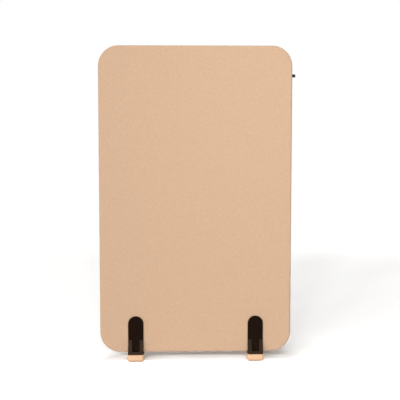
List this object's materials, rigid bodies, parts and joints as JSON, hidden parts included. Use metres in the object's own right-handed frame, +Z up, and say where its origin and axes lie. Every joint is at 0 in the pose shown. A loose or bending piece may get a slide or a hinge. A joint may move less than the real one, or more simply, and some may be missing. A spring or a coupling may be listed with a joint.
{
  "type": "acoustic divider screen",
  "caption": "Free-standing acoustic screen: upholstered panel with rounded corners, clamped between black brackets with open wedges on compact wooden feet.",
  "frame": {"origin": "on the floor, below the middle of the panel's width and thickness", "axes": "+X along the screen, towards the edge with the tab; +Y from the front to the back; +Z up"},
  "size_m": [1.017, 0.124, 1.64],
  "materials": {
    "panel_fabric": "matt woven upholstery",
    "band_fabric": "matt woven tape",
    "tab_weave": "matt woven tape",
    "frame_timber": "planed softwood",
    "dowel_wood": "turned beech",
    "hardboard": "smooth board",
    "core_felt": "needled felt",
    "foot_wood": "oiled beech",
    "bracket_black": "satin powder coat",
    "pad_rubber": "matt",
    "pad_felt": "thin felt",
    "zinc_steel": "zinc plated",
    "black_steel": "black oxide",
    "glide_felt": "dense felt"
  },
  "bodies": {
    "root": {"front_cover": "panel_fabric", "rear_cover": "panel_fabric", "edge_band": "band_fabric", "label_tab": "tab_weave", "frame_top_rail": "frame_timber", "frame_bottom_rail": "frame_timber", "frame_left_stile": "frame_timber", "frame_right_stile": "frame_timber", "frame_corner_blocks": "frame_timber", "frame_dowels": "dowel_wood", "septum_board": "hardboard", "acoustic_core_front": "core_felt", "acoustic_core_rear": "core_felt", "bracket_fixing_blocks": "frame_timber", "fixing_block_screws": "zinc_steel", "left_foot_block": "foot_wood", "left_front_bracket": "bracket_black", "left_rear_bracket": "bracket_black", "left_saddle_plate": "bracket_black", "left_saddle_pad": "pad_rubber", "left_bracket_pads": "pad_felt", "left_sleeve_nuts": "zinc_steel", "left_bracket_bolts": "black_steel", "left_foot_screws": "black_steel", "left_saddle_screws": "zinc_steel", "left_floor_glides": "glide_felt", "right_foot_block": "foot_wood", "right_front_bracket": "bracket_black", "right_rear_bracket": "bracket_black", "right_saddle_plate": "bracket_black", "right_saddle_pad": "pad_rubber", "right_bracket_pads": "pad_felt", "right_sleeve_nuts": "zinc_steel", "right_bracket_bolts": "black_steel", "right_foot_screws": "black_steel", "right_saddle_screws": "zinc_steel", "right_floor_glides": "glide_felt"}
  },
  "joints": []
}
